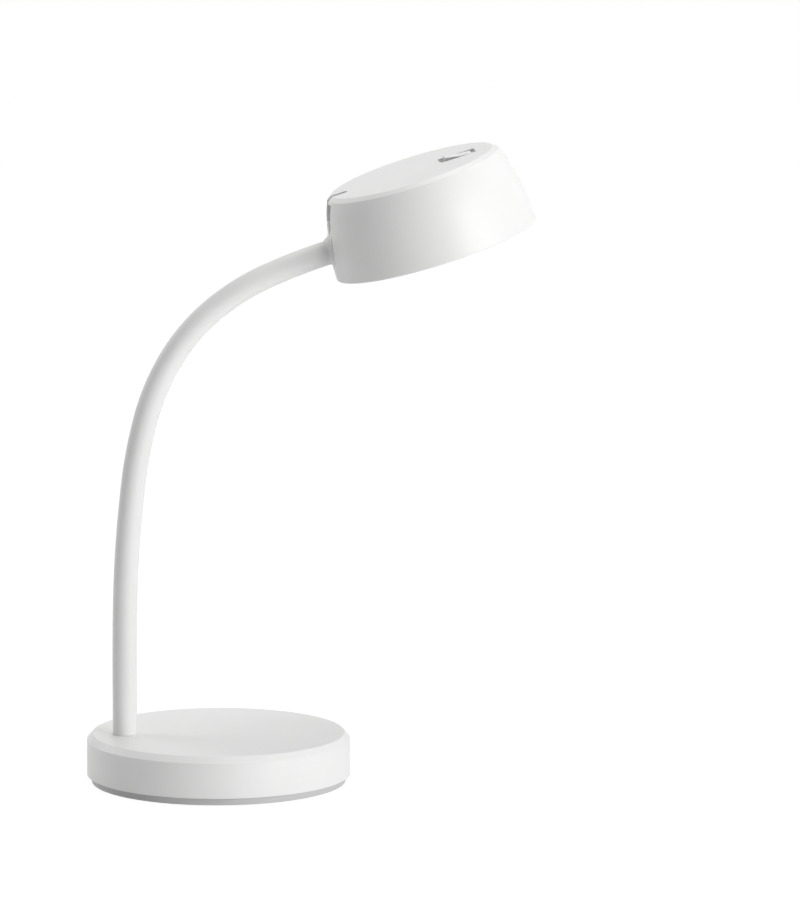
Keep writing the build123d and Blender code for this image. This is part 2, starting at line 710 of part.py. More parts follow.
# ------------------------------------------------------------------ head shell
with BuildPart() as head_shell:
    with BuildSketch(head_side):
        with BuildLine():
            Line((0, 0), (head_top_radius, 0))
            Line((head_top_radius, 0), (head_wall_radii[0], -head_chamfer_down))
            outside = Spline(*wall_points(0, head_chamfer_down, head_height - rim_round))
            rim = JernArc(outside @ 1, outside % 1, rim_round, -90)
            Line(rim @ 1, (head_wall_radii[-1] - head_wall, (rim @ 1).Y))
            inner = wall_points(head_wall, head_top, -(rim @ 1).Y)
            Spline(*inner)
            Line(inner[0], (0, -head_top))
            Line((0, -head_top), (0, 0))
        make_face()
    revolve(axis=head_axis)
    fillet(head_shell.edges().filter_by(GeomType.CIRCLE).sort_by(head_axis)[-1], edge_round)
    with BuildSketch(head_level(head_top)):
        with PolarLocations(pan_boss_circle, 4, start_angle=45):
            Circle(boss_radius)
    extrude(amount=head_top - dimple_top)
    with BuildSketch(head_level(head_top)):
        with Locations(*bracket_screw_points):
            Circle(boss_radius)
    extrude(amount=head_top - bracket_drop)
    with BuildSketch(head_level(head_top)):
        with Locations((switch_centre, 0)):
            RectangleRounded(
                housing_ear_length + 2 * switch_pad_end,
                housing_width + 2 * switch_pad_side,
                housing_ear_corner,
            )
    extrude(amount=-switch_pad)
    with BuildSketch(head_side):
        with Locations((switch_centre, 0)):
            Polygon(
                (-pocket_length / 2, 0),
                (pocket_slope - pocket_length / 2, -pocket_depth),
                (pocket_length / 2 - pocket_slope, -pocket_depth),
                (pocket_length / 2, 0),
                align=None,
            )
    extrude(amount=pocket_width / 2, both=True, mode=Mode.SUBTRACT)
    with BuildSketch(head_plane):
        with Locations((switch_centre, 0)):
            Rectangle(housing_length + 2 * slip, housing_width + 2 * slip)
    extrude(amount=-pad_depth, mode=Mode.SUBTRACT)
    with BuildSketch(head_level(dimple_top)):
        with PolarLocations(pan_boss_circle, 4, start_angle=45):
            Circle(m2_radius + thread_gap)
    extrude(amount=pan_screw_length - pan_thickness + hole_spare, mode=Mode.SUBTRACT)
    with BuildSketch(head_level(bracket_drop)):
        with Locations(*bracket_screw_points):
            Circle(m3_radius + thread_gap)
    extrude(amount=bracket_screw_length - bracket_thickness + thin_hole_spare, mode=Mode.SUBTRACT)
    with BuildSketch(head_level(pad_depth)):
        with Locations(*housing_screw_points):
            Circle(m2_radius + thread_gap)
    extrude(amount=housing_screw_bite + thin_hole_spare, mode=Mode.SUBTRACT)
    with BuildSketch(head_level(slot_top)):
        with Locations((slot_end - slot_half_width, 0)):
            Circle(slot_half_width)
        with Locations((slot_end - 2 * slot_half_width, 0)):
            Rectangle(2 * slot_half_width, 2 * slot_half_width)
    extrude(amount=slot_top - axis_drop, mode=Mode.SUBTRACT)
    slit_length = slot_end - slit_half_width - slot_start
    with BuildSketch(head_plane.offset(cut_margin)):
        with Locations((slot_end - slit_half_width, 0)):
            Circle(slit_half_width)
        with Locations((slot_start + slit_length / 2, 0)):
            Rectangle(slit_length, 2 * slit_half_width)
    extrude(amount=-slot_top - 2 * cut_margin, mode=Mode.SUBTRACT)
    with BuildSketch(Plane(head_point(slot_start, 0, axis_drop), x_dir=(0, 1, 0), z_dir=forward)):
        Circle(slot_half_width)
    extrude(amount=pin_place - 2 * lug_boss_radius - slot_start, mode=Mode.SUBTRACT)
save(head_shell.part, "head_shell")

# ------------------------------------------------------------------ neck
with BuildPart() as neck_knuckle:
    with BuildSketch(head_side):
        with BuildLine():
            shield_span = shield_above + shield_below
            skin = CenterArc(pin_centre, barrel_radius, 180 - shield_above, shield_span)
            back = CenterArc(pin_centre, barrel_radius - barrel_skin, 180 - shield_above, shield_span)
            Line(skin @ 0, back @ 0)
            Line(skin @ 1, back @ 1)
        make_face()
    extrude(amount=barrel_half_width, both=True)
    with BuildSketch(Plane(head_point(pin_place, 0, axis_drop), x_dir=(0, 1, 0), z_dir=forward)):
        Circle(barrel_half_width)
        with Locations((0, barrel_radius / 2)):
            Rectangle(2 * barrel_half_width, barrel_radius)
    extrude(amount=-2 * barrel_radius, mode=Mode.INTERSECT)
    with BuildSketch(head_side):
        stop_levels = [axis_drop + (stop_depth - axis_drop) * n / stop_runs for n in range(stop_runs + 1)]
        stop_face = [(stop_inset - wall_radius(depth), -depth) for depth in stop_levels]
        Polygon(*stop_face, pin_centre, align=None)
        with Locations(pin_centre):
            Circle(barrel_radius - barrel_skin / 2, mode=Mode.SUBTRACT)
    extrude(amount=stop_half_width, both=True)
    for side in (-1, 1):
        with BuildSketch(side_plane(side * (lug_outer - lug_thickness / 2))):
            with Locations(pin_centre):
                Circle(lug_boss_radius)
            with BuildLine():
                lug_reach = barrel_radius - barrel_skin / 2
                lug = CenterArc(pin_centre, lug_reach, 180 - lug_above, lug_above + lug_below)
                Line(lug @ 0, pin_centre)
                Line(lug @ 1, pin_centre)
            make_face()
        extrude(amount=lug_thickness / 2, both=True)
    collar_line = Axis(head_point(pin_place, 0, axis_drop), forward)
    with BuildSketch(head_side):
        mouth = -arm_to_head_centre
        skin_place = pin_place - sqrt(barrel_radius**2 - collar_radius**2) + collar_tuck
        inner_end = mouth + ferrule_start + end_ferrule_length
        with BuildLine():
            mouth_edge = (mouth, collar_mouth_radius - collar_edge - axis_drop)
            flare_start = (mouth + collar_edge, collar_mouth_radius - axis_drop)
            flare_end = (skin_place, collar_radius - axis_drop)
            flare = TangentArc(flare_start, flare_end, tangent=(1, collar_flare))
            Line(flare_end, (inner_end, collar_radius - axis_drop))
            Line((inner_end, collar_radius - axis_drop), (inner_end, -axis_drop))
            Line((inner_end, -axis_drop), (mouth, -axis_drop))
            Line((mouth, -axis_drop), mouth_edge)
            Line(mouth_edge, flare_start)
        make_face()
    revolve(axis=collar_line)
    neck_plane = arm_plane(arm_length)
    with BuildSketch(neck_plane):
        Circle(sleeve_radius + slip)
    extrude(amount=collar_recess, mode=Mode.SUBTRACT)
    with BuildSketch(neck_plane.offset(collar_recess)):
        Circle(end_ferrule_radius + running)
    extrude(amount=end_ferrule_length, mode=Mode.SUBTRACT)
    with BuildSketch(head_side):
        with Locations(pin_centre):
            Circle(pin_radius + running)
    extrude(amount=lug_outer, both=True, mode=Mode.SUBTRACT)
    ferrule_screw_place = ferrule_start + end_ferrule_length / 2
    ferrule_screw_centre = (ferrule_screw_place - arm_to_head_centre, -axis_drop)
    with BuildSketch(head_side):
        with Locations(ferrule_screw_centre):
            Circle(m3_radius + thread_gap)
    extrude(amount=collar_radius + cut_margin, both=True, mode=Mode.SUBTRACT)
save(neck_knuckle.part, "neck_knuckle")

with BuildPart() as end_ferrule:
    ferrule_foot = arm_plane(arm_length + ferrule_start)
    with BuildSketch(ferrule_foot):
        Circle(end_ferrule_radius)
    extrude(amount=end_ferrule_length)
    with BuildSketch(ferrule_foot):
        Circle(core_radius + running)
    extrude(amount=end_ferrule_length - ferrule_end, mode=Mode.SUBTRACT)
    with BuildSketch(ferrule_foot):
        Circle(ferrule_end_hole)
    extrude(amount=end_ferrule_length, mode=Mode.SUBTRACT)
save(end_ferrule.part, "end_ferrule")

with BuildPart() as ferrule_screws:
    for side in (-1, 1):
        with BuildSketch(side_plane(side * (end_ferrule_radius + thread_gap))):
            with Locations(ferrule_screw_centre):
                Circle(m3_radius)
        extrude(amount=-side * (lug_outer - end_ferrule_radius - 2 * slip))
save(ferrule_screws.part, "ferrule_screws")

with BuildPart() as friction_washers:
    for side in (-1, 1):
        with BuildSketch(side_plane(side * (lug_outer + washer_gap_side))):
            with Locations(pin_centre):
                Circle(lug_boss_radius)
                Circle(pin_radius + running, mode=Mode.SUBTRACT)
        extrude(amount=-side * (bracket_inner - lug_outer - 2 * washer_gap_side))
save(friction_washers.part, "friction_washers")

with BuildPart() as hinge_bracket:
    web_top = pan_top - bracket_web_gap - bracket_web_height
    for side in (-1, 1):
        with BuildSketch(side_plane(side * bracket_inner)):
            with BuildLine():
                Polyline(
                    (bracket_back, -bracket_drop),
                    (bracket_front, -bracket_drop),
                    (bracket_front, -web_top - bracket_web_height),
                    (pin_place, -axis_drop - bracket_eye_radius + bracket_eye_tuck),
                    (pin_place - bracket_eye_radius + bracket_eye_tuck, -axis_drop),
                    close=True,
                )
            make_face()
            with Locations(pin_centre):
                Circle(bracket_eye_radius)
                Circle(pin_radius + running, mode=Mode.SUBTRACT)
        extrude(amount=-side * bracket_thickness)
        with BuildSketch(head_level(bracket_drop)):
            with Locations((bracket_middle, side * (bracket_inner + bracket_flange / 2))):
                Rectangle(bracket_front - bracket_back, bracket_flange)
        extrude(amount=-bracket_thickness)
    with BuildSketch(head_level(web_top)):
        with Locations((bracket_front - bracket_thickness / 2, 0)):
            Rectangle(bracket_thickness, 2 * bracket_outer)
    extrude(amount=-bracket_web_height)
    with BuildSketch(head_level(bracket_drop)):
        with Locations(*bracket_screw_points):
            Circle(m3_radius + slip)
    extrude(amount=-bracket_thickness, mode=Mode.SUBTRACT)
save(hinge_bracket.part, "hinge_bracket")

with BuildPart() as hinge_bolt:
    with BuildSketch(side_plane(-bracket_outer)):
        with Locations(pin_centre):
            Circle(pin_radius)
    extrude(amount=-(2 * bracket_outer + pin_nut + pin_end))
    with BuildSketch(side_plane(-bracket_outer)):
        with Locations(pin_centre):
            Circle(pin_head_radius)
    extrude(amount=pin_head)
    with BuildSketch(side_plane(-bracket_outer - pin_head)):
        with Locations(pin_centre):
            RegularPolygon(pin_radius / 2, 6)
    extrude(amount=-pin_head / 2, mode=Mode.SUBTRACT)
save(hinge_bolt.part, "hinge_bolt")

with BuildPart() as hinge_nut:
    with BuildSketch(side_plane(bracket_outer)):
        with Locations(pin_centre):
            RegularPolygon(pin_nut_flats / 2, 6, major_radius=False)
            Circle(pin_radius + thread_gap, mode=Mode.SUBTRACT)
    extrude(amount=-pin_nut)
save(hinge_nut.part, "hinge_nut")

bracket_seats = [
    Plane(head_point(x, y, bracket_drop + bracket_thickness), z_dir=upward) for x, y in bracket_screw_points
]
save(screws(bracket_seats, m3_head, m3_head_height, m3_radius, bracket_screw_length), "bracket_screws")

# ------------------------------------------------------------------ light unit
with BuildPart() as light_pan:
    with BuildSketch(head_level(diffuser_top)):
        Circle(pan_radius)
    extrude(amount=diffuser_top - pan_top)
    with BuildSketch(head_level(diffuser_top)):
        Circle(pan_radius - pan_skirt)
    extrude(amount=diffuser_top - reflector_top, mode=Mode.SUBTRACT)
    with BuildSketch(head_level(pan_top)):
        with PolarLocations(pan_boss_circle, 4, start_angle=45):
            Circle(dimple_radius)
    extrude(amount=dimple_rise)
    with BuildSketch(head_level(reflector_top)):
        with PolarLocations(pan_boss_circle, 4, start_angle=45):
            Circle(dimple_radius - dimple_wall)
    extrude(amount=dimple_rise, mode=Mode.SUBTRACT)
    with BuildSketch(head_level(reflector_top)):
        with PolarLocations(pan_boss_circle, 4, start_angle=45):
            Circle(m2_radius + slip)
    extrude(amount=reflector_top - dimple_top, mode=Mode.SUBTRACT)
    driver_points = [(driver_centre + x, y) for x, y in driver_screw_places]
    with BuildSketch(head_level(pan_top)):
        with Locations(*driver_points):
            Circle(board_post_radius)
    extrude(amount=driver_rise)
    with BuildSketch(head_level(pan_top)):
        with Locations(*driver_points):
            Circle(m2_radius + thread_gap)
    extrude(amount=driver_rise, mode=Mode.SUBTRACT)
    led_wire_place = ring_radius - ring_thickness - led_wire_radius - running
    with BuildSketch(head_level(reflector_top)):
        with Locations((led_wire_place, 0)):
            Circle(led_wire_radius + slip)
    extrude(amount=pan_thickness, mode=Mode.SUBTRACT)
save(light_pan.part, "light_pan")

pan_seats = [Plane(head_level(reflector_top - dimple_rise) * place) for place in pan_boss_places]
save(screws(pan_seats, m2_head, pan_screw_head, m2_radius, pan_screw_length), "pan_screws")

with BuildPart() as led_ring:
    with BuildSketch(head_level(diffuser_top - running)):
        Circle(ring_radius)
        Circle(ring_radius - ring_thickness, mode=Mode.SUBTRACT)
    extrude(amount=diffuser_top - reflector_top - 2 * running)
save(led_ring.part, "led_ring")

with BuildPart() as led_chips:
    chip_circle = ring_radius - ring_thickness - chip_size[0] / 2 - running
    with BuildSketch(head_level((diffuser_top + reflector_top) / 2 + chip_size[2] / 2)):
        with PolarLocations(chip_circle, chip_count, start_angle=180 / chip_count):
            Rectangle(chip_size[0], chip_size[1])
    extrude(amount=chip_size[2])
save(led_chips.part, "led_chips")

with BuildPart() as light_guide:
    with BuildSketch(head_level(diffuser_top)):
        Circle(guide_radius)
    extrude(amount=guide_thickness)
save(light_guide.part, "light_guide")

with BuildPart() as reflector_sheet:
    with BuildSketch(head_level(guide_top)):
        Circle(guide_radius)
    extrude(amount=reflector_thickness)
save(reflector_sheet.part, "reflector_sheet")

with BuildPart() as diffuser:
    with BuildSketch(head_level(bezel_top)):
        Circle(pan_radius)
    extrude(amount=diffuser_thickness)
save(diffuser.part, "diffuser")

with BuildPart() as bezel_ring:
    with BuildSketch(head_level(head_height)):
        Circle(bezel_radius)
        Circle(bezel_radius - bezel_width, mode=Mode.SUBTRACT)
    extrude(amount=bezel_thickness)
    inner_edges = bezel_ring.edges().filter_by(GeomType.CIRCLE).sort_by(SortBy.RADIUS)[:2]
    chamfer(inner_edges.sort_by(head_axis)[0], bezel_thickness / 3)
save(bezel_ring.part, "bezel_ring")

driver_bottom = pan_top - driver_rise
driver_top = driver_bottom - board_thickness
with BuildPart() as driver_board:
    with BuildSketch(head_level(driver_bottom)):
        with Locations((driver_centre, 0)):
            Rectangle(driver_length, driver_width)
        with Locations(*driver_points):
            Circle(m2_radius + slip, mode=Mode.SUBTRACT)
    extrude(amount=board_thickness)
save(driver_board.part, "driver_board")

driver_seats = [Plane(head_point(x, y, driver_top), z_dir=-upward) for x, y in driver_points]
driver_screw_length = board_thickness + driver_rise - hole_spare
save(screws(driver_seats, m2_head, m2_head_height, m2_radius, driver_screw_length), "driver_screws")

socket_place = driver_centre - driver_length / 2 + socket_size[0] / 2 + socket_edge
with BuildPart() as driver_parts:
    with BuildSketch(head_level(driver_top)):
        with Locations((socket_place, 0)):
            Rectangle(socket_size[0], socket_size[1])
    extrude(amount=socket_size[2])
    with BuildSketch(head_level(driver_top)):
        with Locations((driver_centre + coil_place[0], coil_place[1])):
            RectangleRounded(coil_size[0], coil_size[1], coil_corner)
    extrude(amount=coil_size[2])
    with BuildSketch(head_level(driver_top)):
        with Locations((driver_centre + chip_place[0], chip_place[1])):
            Rectangle(chip_body[0], chip_body[1])
    extrude(amount=chip_body[2])
    with BuildSketch(head_level(driver_top)):
        with Locations((driver_centre + capacitor_place[0], capacitor_place[1])):
            Circle(capacitor_radius)
    extrude(amount=capacitor_height)
save(driver_parts.part, "driver_parts")

# ------------------------------------------------------------------ switch
pivot = (switch_centre, -rocker_pivot_depth)
housing_bottom = pocket_depth + housing_depth
with BuildPart() as switch_housing:
    with BuildSketch(head_level(pocket_depth)):
        with Locations((switch_centre, 0)):
            Rectangle(housing_length, housing_width)
    extrude(amount=-housing_depth)
    with BuildSketch(head_level(pad_depth)):
        with Locations((switch_centre, 0)):
            RectangleRounded(housing_ear_length, housing_width, housing_ear_corner)
        with Locations(*housing_screw_points):
            Circle(m2_radius + slip, mode=Mode.SUBTRACT)
    extrude(amount=-housing_ear)
    with BuildSketch(head_level(pocket_depth)):
        with Locations((switch_centre, 0)):
            Rectangle(housing_length - 2 * housing_wall, 2 * rocker_half_width + 2 * swing_gap)
    extrude(amount=housing_floor - housing_depth, mode=Mode.SUBTRACT)
    with BuildSketch(head_side):
        with Locations(pivot):
            Circle(rocker_pivot_radius + running)
    extrude(amount=housing_width / 2, both=True, mode=Mode.SUBTRACT)
    with BuildSketch(head_level(housing_bottom)):
        with Locations((switch_centre, 0)):
            with GridLocations(terminal_pitch, 0, 2, 1):
                Rectangle(terminal_size[1] + 2 * thread_gap, terminal_size[0] + 2 * thread_gap)
    extrude(amount=housing_floor, mode=Mode.SUBTRACT)
save(switch_housing.part, "switch_housing")

ear_under = pad_depth + housing_ear
switch_seats = [Plane(head_point(x, y, ear_under), z_dir=upward) for x, y in housing_screw_points]
save(screws(switch_seats, m2_head, m2_head_height, m2_radius, housing_screw_length), "switch_screws")

with BuildPart() as switch_terminals:
    with BuildSketch(head_level(housing_bottom - housing_floor - terminal_inside)):
        with Locations((switch_centre, 0)):
            with GridLocations(terminal_pitch, 0, 2, 1):
                Rectangle(terminal_size[1], terminal_size[0])
    extrude(amount=-housing_floor - terminal_inside - terminal_size[2])
save(switch_terminals.part, "switch_terminals")

terminal_end = housing_bottom + terminal_size[2]
with BuildPart() as switch_leads:
    with BuildSketch(head_level(terminal_end)):
        with Locations((switch_centre, 0)):
            with GridLocations(terminal_pitch, 0, 2, 1):
                Circle(switch_wire_radius)
    extrude(amount=terminal_end - driver_top)
save(switch_leads.part, "switch_leads")

along_rocker = forward * cos(radians(rocker_tip)) - upward * sin(radians(rocker_tip))
tipped = Plane(head_point(switch_centre, 0, rocker_pivot_depth), x_dir=along_rocker, z_dir=(0, -1, 0))
with BuildPart() as switch_rocker:
    with BuildSketch(tipped) as rocker_outline:
        Circle(rocker_reach)
        with BuildLine():
            Polyline(
                (-rocker_reach, rocker_rise),
                (0, rocker_rise - rocker_dip),
                (rocker_reach, rocker_rise),
                (rocker_reach, 2 * rocker_reach),
                (-rocker_reach, 2 * rocker_reach),
                close=True,
            )
        make_face(mode=Mode.SUBTRACT)
        with Locations((0, -rocker_skirt - rocker_reach)):
            Rectangle(2 * rocker_reach, 2 * rocker_reach, mode=Mode.SUBTRACT)
        fillet(rocker_outline.vertices().sort_by(Axis.Y)[-2:], edge_round)
    extrude(amount=rocker_half_width, both=True)
    with BuildSketch(tipped):
        Circle(rocker_pivot_radius)
    extrude(amount=housing_width / 2 - rocker_pivot_end, both=True)
save(switch_rocker.part, "switch_rocker")

with BuildPart() as led_lead:
    wire_out = driver_centre + driver_length / 2 - led_wire_inset
    wire_start = head_point(wire_out, 0, driver_top - led_wire_radius)
    wire_turn = head_point(led_wire_place, 0, driver_top - led_wire_radius)
    wire_end = head_point(led_wire_place, 0, diffuser_top - led_wire_end)
    with BuildLine() as wire_route:
        FilletPolyline(wire_start, wire_turn, wire_end, radius=led_wire_bend)
    with BuildSketch(Plane(wire_start, z_dir=forward)):
        Circle(led_wire_radius)
    sweep(path=wire_route.wire())
save(led_lead.part, "led_lead")

# ------------------------------------------------------------------ the lead through the arm
plug_face = inlet_floor.offset(lead_level).from_local_coords(Vector(lead_board_x, plug_side, 0))
pin_pass = pin_radius + lead_radius + 2 * lead_room
head_lead = [
    arm_point(arm_length),
    head_point(pin_place - 9.0, 0, axis_drop),
    head_point(pin_place - 4.2, 0, axis_drop - pin_pass),
    head_point(pin_place + 5.6, 0, axis_drop - pin_pass),
    head_point(pin_place + 13.0, 0, driver_top - socket_size[2] / 2),
    head_point(socket_place - socket_size[0] / 2, 0, driver_top - socket_size[2] / 2),
]


def corner_radii(points):
    """Largest arc at each corner that leaves its runs a straight tenth."""
    radii = []
    for before, corner, after in zip(points, points[1:], points[2:]):
        reach = 0.45 * min((corner - before).length, (after - corner).length)
        half_turn = radians((corner - before).get_angle(after - corner)) / 2
        radii.append(reach * cos(half_turn) / sin(half_turn))
    return radii


lead_radii = corner_radii(head_lead)
print("lead radii", [round(radius, 1) for radius in lead_radii])
with BuildPart() as lamp_lead:
    with BuildLine() as lead_route:
        ferrule_foot_point = Vector(arm_root_x, 0, lead_level)
        FilletPolyline(plug_face, ferrule_foot_point, arm_point(0), radius=root_bend)
        arm_route(0, arm_length)
        FilletPolyline(*head_lead, radius=lead_radii)
    with BuildSketch(Plane(plug_face, z_dir=ferrule_foot_point - plug_face)):
        Circle(lead_radius)
    sweep(path=lead_route.wire())
save(lamp_lead.part, "lamp_lead")
lead_length = lead_route.wire().length
print("lead volume ratio", round(lamp_lead.part.volume / (pi * lead_radius**2 * lead_length), 4))
print("head origin", head_origin, "pin", head_point(pin_place, 0, axis_drop), "heading", end_heading)
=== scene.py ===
# %% [markdown]
# # A desk lamp, dressed in Blender
#
# The lamp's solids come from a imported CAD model, and they are already the right size and in the
# right place. This lesson gives them their finishes, makes the soft sleeve and the lead again so
# that they bend with the arm, and sets up a small photo studio. Lengths are in metres: +Z is up
# and +X is the lamp's front.
#
# Loading the frame comes first. It returns the nodes, which are the lamp's pieces, by name.

# %% Load the lamp
import json
from math import cos, pi, radians, sin

import bpy
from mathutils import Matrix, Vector


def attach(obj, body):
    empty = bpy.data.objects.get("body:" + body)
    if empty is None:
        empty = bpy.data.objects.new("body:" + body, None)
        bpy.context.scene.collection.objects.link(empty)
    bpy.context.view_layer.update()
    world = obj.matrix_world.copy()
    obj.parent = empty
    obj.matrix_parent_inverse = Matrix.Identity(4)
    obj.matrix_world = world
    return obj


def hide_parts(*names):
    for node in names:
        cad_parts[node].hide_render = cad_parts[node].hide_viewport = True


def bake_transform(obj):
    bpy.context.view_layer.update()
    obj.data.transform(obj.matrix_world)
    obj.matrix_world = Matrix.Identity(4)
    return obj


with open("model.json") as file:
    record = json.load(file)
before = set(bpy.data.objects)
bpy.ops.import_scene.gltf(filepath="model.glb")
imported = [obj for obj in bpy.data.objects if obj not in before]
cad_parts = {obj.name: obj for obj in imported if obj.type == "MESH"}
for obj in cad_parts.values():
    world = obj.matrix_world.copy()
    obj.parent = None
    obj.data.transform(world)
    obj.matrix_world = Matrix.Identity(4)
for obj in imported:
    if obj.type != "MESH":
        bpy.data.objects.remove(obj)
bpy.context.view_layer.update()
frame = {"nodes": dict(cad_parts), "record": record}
nodes = frame["nodes"]

# %% [markdown]
# ## The camera
#
# A long lens far away keeps the base's rim a flat ellipse, as in a catalogue picture. The place
# was found by fitting the base's two rims, so the camera stands a little to the left and a little
# above the lamp. A lens is chosen by how many pixels one radian covers: that number times the
# sensor's height, over the picture's height.

# %% Camera
picture_height = 911  # pixels
sensor_height = 36.0  # millimetres
pixels_per_radian = 8998.0
camera_place = Vector((-0.36654, -4.34346, 0.88662))
camera_target = Vector((0.08901, -0.00936, 0.16274))

camera_data = bpy.data.cameras.new("camera")
camera = bpy.data.objects.new("camera", camera_data)
bpy.context.scene.collection.objects.link(camera)
bpy.context.scene.camera = camera
camera_data.sensor_fit = "VERTICAL"
camera_data.sensor_height = sensor_height
camera_data.lens = pixels_per_radian * sensor_height / picture_height
camera.location = camera_place
camera.rotation_euler = (camera_target - camera_place).to_track_quat("-Z", "Y").to_euler()
camera_distance = (camera_target - camera_place).length
print("lens", round(camera_data.lens, 1), "mm, from", round(camera_distance, 2), "m away")

# %% [markdown]
# ## Small helpers for node trees
#
# A node material is a graph: each node has input sockets and output sockets. These two helpers
# add a node with its values set, and join two sockets, so that the materials below read as short
# recipes.


# %% Node helpers
def add(tree, kind, values=None, **settings):
    """Add a node, set its properties, then its input sockets by name or number."""
    made = tree.nodes.new(kind)
    for key, value in settings.items():
        setattr(made, key, value)
    for key, value in (values or {}).items():
        made.inputs[key].default_value = value
    return made


def join(tree, *pairs):
    """Join sockets, given as (node, output, node, input)."""
    for source, output, target, socket in pairs:
        tree.links.new(source.outputs[output], target.inputs[socket])


# %% [markdown]
# ## The studio
#
# The floor is a plain pale surface. A camera ray sees it nearly white, and so do reflections,
# because Light Path tells the rays apart: the lamp is lit by the real floor, and only the
# picture's background is lifted. Part of the real floor stays in the mix, so the lamp still drops
# a soft shadow. The floor ends where the softboxes' light does, and past it the white of the
# world goes on, so that the picture is white up to its top edge.


# %% Floor and background
def background_rays(tree):
    """One for camera, mirrored and see-through rays, and nothing for the rest."""
    path = add(tree, "ShaderNodeLightPath")
    first = add(tree, "ShaderNodeMath", operation="MAXIMUM")
    second = add(tree, "ShaderNodeMath", operation="MAXIMUM")
    join(
        tree,
        (path, "Is Camera Ray", first, 0),
        (path, "Is Glossy Ray", first, 1),
        (first, 0, second, 0),
        (path, "Is Transmission Ray", second, 1),
    )
    return second


plain_white = (1, 1, 1, 1)
floor_size = 4.6
floor_paint = 0.86  # how much light the real floor sends back
floor_lift = 0.8  # share of plain white in what a camera ray sees of the floor
floor_white = 1.15  # brightness of that white, so that the open floor is as white as the picture's
world_white = 1.0  # brightness of the background past the floor
room_light = 0.185  # brightness of the room around the lamp

bpy.ops.object.select_all(action="DESELECT")
bpy.ops.mesh.primitive_plane_add(size=floor_size)
floor = bpy.context.object
floor.name = "studio_floor"
floor_material = bpy.data.materials.new("studio_floor")
floor_material.use_nodes = True
tree = floor_material.node_tree
tree.nodes.clear()
paint_colour = (floor_paint, floor_paint, floor_paint, 1)
paint = add(tree, "ShaderNodeBsdfDiffuse", {"Color": paint_colour})
glow = add(tree, "ShaderNodeEmission", {"Color": plain_white, "Strength": floor_white})
share = add(tree, "ShaderNodeMath", {1: floor_lift}, operation="MULTIPLY")
blend = add(tree, "ShaderNodeMixShader")
output = add(tree, "ShaderNodeOutputMaterial")
rays = background_rays(tree)
join(
    tree,
    (rays, 0, share, 0),
    (share, 0, blend, 0),
    (paint, 0, blend, 1),
    (glow, 0, blend, 2),
    (blend, 0, output, "Surface"),
)
floor.data.materials.append(floor_material)
print("floor", floor.name, floor_size, "m across")

# %% [markdown]
# The world has two backgrounds in the same way: a dim room, which lights the lamp, and a plain
# white, which only the camera, reflections and glass see. The Standard view shows each colour as
# it is written.

# %% World
world = bpy.data.worlds.new("studio")
bpy.context.scene.world = world
world.use_nodes = True
tree = world.node_tree
tree.nodes.clear()
room = add(tree, "ShaderNodeBackground", {"Color": plain_white, "Strength": room_light})
white = add(tree, "ShaderNodeBackground", {"Color": plain_white, "Strength": world_white})
blend = add(tree, "ShaderNodeMixShader")
output = add(tree, "ShaderNodeOutputWorld")
join(
    tree,
    (background_rays(tree), 0, blend, 0),
    (room, 0, blend, 1),
    (white, 0, blend, 2),
    (blend, 0, output, "Surface"),
)
bpy.context.scene.view_settings.view_transform = "Standard"
print("room light", room_light, "white", world_white)

# %% [markdown]
# ## The lights
#
# In the photograph the right side of the lamp is bright and the left side falls to a light grey,
# with soft edges. That is one large softbox at the front right. A second one overhead holds the
# flat tops, and a weak one behind at the left draws the thin pale rim on that side. The room
# itself is dim, so the hollow places go dark. Each light was rendered alone, and the strengths
# were solved so that their sum matches the photograph's greys. Then the key was turned down a
# little, until the white plastic no longer clipped.


# %% Softboxes
def softbox(name, place, target, width, watts):
    """A square area light at a place, facing a target."""
    data = bpy.data.lights.new(name, "AREA")
    data.shape = "SQUARE"
    data.size = width
    data.energy = watts
    light = bpy.data.objects.new(name, data)
    bpy.context.scene.collection.objects.link(light)
    light.location = place
    light.rotation_euler = (Vector(target) - Vector(place)).to_track_quat("-Z", "Y").to_euler()


lamp_middle = (0.04, 0.0, 0.15)
softboxes = (  # name, place, width and watts
    ("key_softbox", (1.85, -1.9, 0.6), 1.6, 54.5),
    ("top_softbox", (0.3, 0.4, 2.6), 1.8, 36.0),
    ("rim_softbox", (-2.1, 1.3, 1.2), 1.4, 18.0),
)
for name, place, width, watts in softboxes:
    softbox(name, place, lamp_middle, width, watts)
    print(name, width, "m wide,", watts, "W")

# %% [markdown]
# ## Effects that several finishes share
#
# Real surfaces are never one flat colour. Moulded plastic has a fine spark texture from its
# mould, and its tone drifts a little from place to place. Each such effect is a node group with
# named sockets, built once, and each material sets its own values. The groups put out masks and
# heights, and the shader itself stays in the material.


# %% Effect groups
def effect(name, inputs, outputs):
    """An empty node group with float sockets: the group, its input node and its output node."""
    group = bpy.data.node_groups.new(name, "ShaderNodeTree")
    for label, value in inputs.items():
        socket = group.interface.new_socket(label, in_out="INPUT", socket_type="NodeSocketFloat")
        socket.default_value = value
    for label in outputs:
        group.interface.new_socket(label, in_out="OUTPUT", socket_type="NodeSocketFloat")
    return group, group.nodes.new("NodeGroupInput"), group.nodes.new("NodeGroupOutput")


